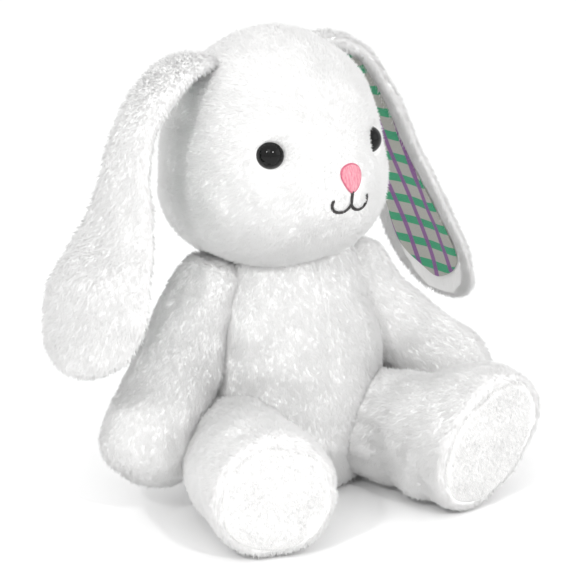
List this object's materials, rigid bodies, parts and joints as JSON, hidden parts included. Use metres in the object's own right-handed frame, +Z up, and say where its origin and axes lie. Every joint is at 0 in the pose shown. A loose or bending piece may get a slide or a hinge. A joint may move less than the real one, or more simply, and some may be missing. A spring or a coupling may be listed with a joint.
{
  "type": "stuffed toy rabbit",
  "caption": "Seated soft toy rabbit in white plush with long hanging lop ears lined in plaid, glossy eyes, a stitched nose and mouth, and limbs that swing.",
  "frame": {"origin": "on the ground under the middle of the seat", "axes": "+Z up, the rabbit faces -Y, its left is +X"},
  "size_m": [0.2741, 0.1852, 0.247],
  "materials": {
    "plush": "matte",
    "short_plush": "matte",
    "plaid_cotton": "matte",
    "stuffing": "matte",
    "eye": "gloss",
    "washer": "matte",
    "pink_thread": "satin",
    "black_thread": "satin",
    "white_thread": "satin",
    "pellets": "matte",
    "bag_cloth": "matte",
    "label_satin": "satin"
  },
  "bodies": {
    "torso": {"torso_front_right_panel": "plush", "torso_front_left_panel": "plush", "torso_back_right_panel": "plush", "torso_back_left_panel": "plush", "torso_stuffing": "stuffing", "seat_pellet_bag": "bag_cloth", "seat_pellets": "pellets", "tail_cover": "plush", "tail_stuffing": "stuffing", "closing_seam_thread": "white_thread", "care_label": "label_satin"},
    "neck": {"neck_stuffing": "stuffing"},
    "head": {"head_face_panel": "plush", "head_back_right_panel": "plush", "head_back_left_panel": "plush", "head_stuffing": "stuffing", "right_eye": "eye", "left_eye": "eye", "right_eye_washer": "washer", "left_eye_washer": "washer", "nose_embroidery": "pink_thread", "mouth_embroidery": "black_thread"},
    "right_ear": {"right_ear_back_panel": "plush", "right_ear_lining": "plaid_cotton"},
    "left_ear": {"left_ear_back_panel": "plush", "left_ear_lining": "plaid_cotton"},
    "right_arm": {"right_arm_outer_panel": "plush", "right_arm_inner_panel": "plush", "right_arm_stuffing": "stuffing"},
    "left_arm": {"left_arm_outer_panel": "plush", "left_arm_inner_panel": "plush", "left_arm_stuffing": "stuffing"},
    "right_leg": {"right_leg_outer_panel": "plush", "right_leg_inner_panel": "plush", "right_leg_sole": "short_plush", "right_leg_stuffing": "stuffing"},
    "left_leg": {"left_leg_outer_panel": "plush", "left_leg_inner_panel": "plush", "left_leg_sole": "short_plush", "left_leg_stuffing": "stuffing"}
  },
  "joints": [
    {"name": "head_turn", "type": "hinge", "parent": "torso", "child": "neck", "pos_m": [-0.007, 0.004, 0.121], "axis": [0, 0, 1], "range_deg": [-25, 20]},
    {"name": "head_nod", "type": "hinge", "parent": "neck", "child": "head", "pos_m": [-0.007, 0.004, 0.121], "axis": [0.9903, 0.1392, 0], "range_deg": [-10, 5]},
    {"name": "right_ear_lift", "type": "hinge", "parent": "head", "child": "right_ear", "pos_m": [-0.04969, 0.01315, 0.232], "axis": [-0.3907, 0.9205, 0], "range_deg": [0, 60]},
    {"name": "left_ear_lift", "type": "hinge", "parent": "head", "child": "left_ear", "pos_m": [0.03151, 0.02456, 0.232], "axis": [0.0349, -0.9994, 0], "range_deg": [0, 60]},
    {"name": "right_arm_swing", "type": "hinge", "parent": "torso", "child": "right_arm", "pos_m": [-0.052, 0.002, 0.106], "axis": [1, 0, 0], "range_deg": [-4, 50]},
    {"name": "left_arm_swing", "type": "hinge", "parent": "torso", "child": "left_arm", "pos_m": [0.052, 0.002, 0.106], "axis": [1, 0, 0], "range_deg": [-4, 50]},
    {"name": "right_leg_flex", "type": "hinge", "parent": "torso", "child": "right_leg", "pos_m": [-0.038, -0.034, 0.03], "axis": [1, 0, 0], "range_deg": [-3, 10]},
    {"name": "left_leg_flex", "type": "hinge", "parent": "torso", "child": "left_leg", "pos_m": [0.038, -0.034, 0.03], "axis": [1, 0, 0], "range_deg": [-3, 10]}
  ]
}
